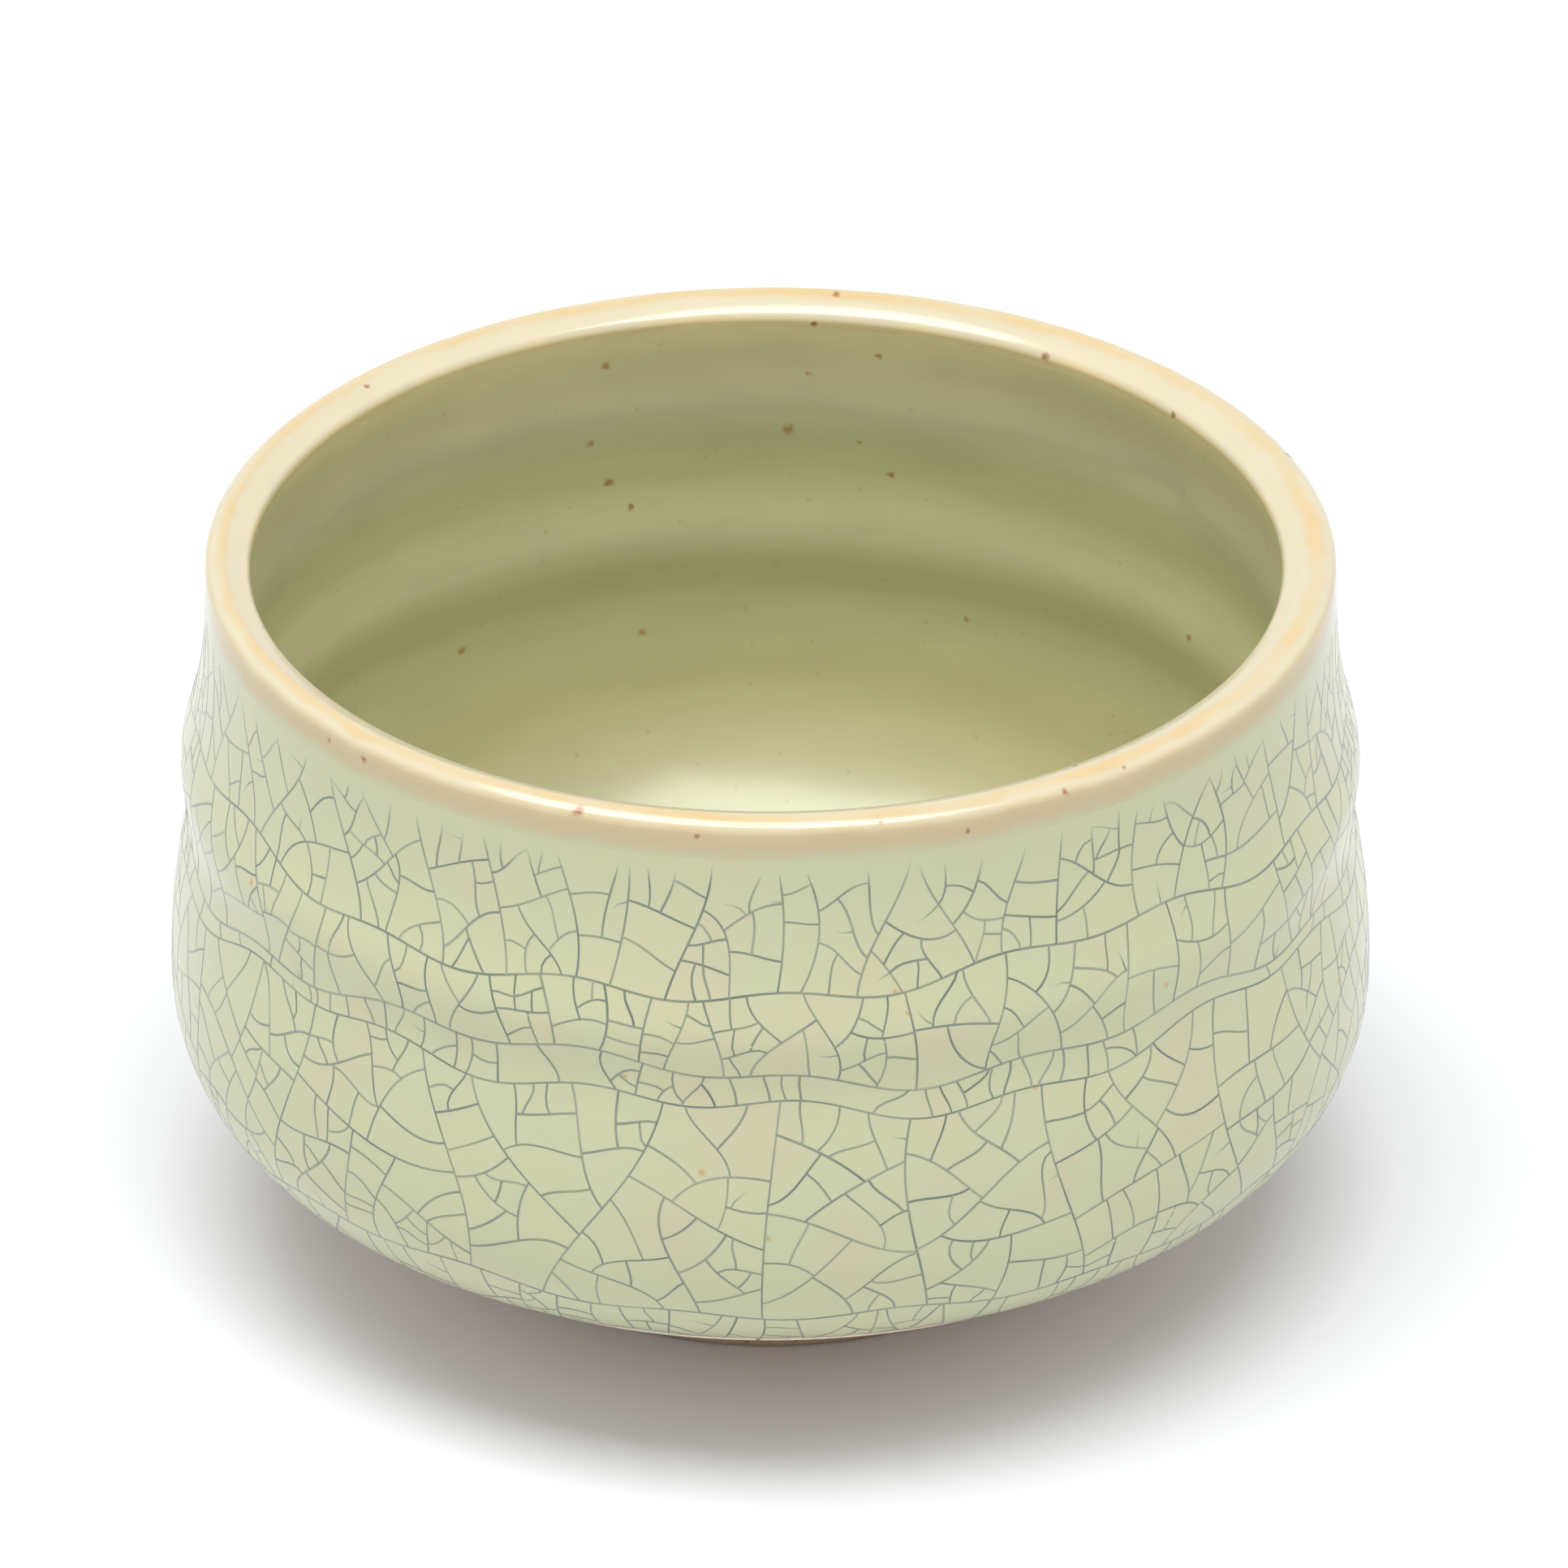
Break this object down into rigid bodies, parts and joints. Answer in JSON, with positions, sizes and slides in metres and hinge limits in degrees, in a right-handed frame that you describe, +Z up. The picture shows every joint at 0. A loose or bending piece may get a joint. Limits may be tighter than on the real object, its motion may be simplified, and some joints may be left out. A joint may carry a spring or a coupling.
{
  "type": "matcha bowl",
  "caption": "Thrown stoneware tea bowl with a waisted wall, crackled celadon glaze outside, plain celadon inside, an amber lip band and a turned bare foot ring.",
  "frame": {"origin": "centre of the circle that the foot ring stands on", "axes": "+Z up along the bowl's axis; the bowl is round, so X and Y are alike; the view in the reference picture is from -Y"},
  "size_m": [0.1202, 0.1202, 0.0743],
  "materials": {
    "fired_stoneware": "bare fired clay, pinkish buff, matt",
    "foot_stoneware": "bare fired clay, turned, matt",
    "plain_celadon_glaze": "satin celadon glaze, olive, with iron specks",
    "amber_rim_glaze": "glossy cream to amber glaze",
    "crackle_celadon_glaze": "glossy pale celadon glaze with stained crackle"
  },
  "bodies": {
    "root": {"clay_body": "fired_stoneware", "foot_ring": "foot_stoneware", "inner_celadon_glaze": "plain_celadon_glaze", "rim_glaze_band": "amber_rim_glaze", "outer_crackle_glaze": "crackle_celadon_glaze"}
  },
  "joints": []
}
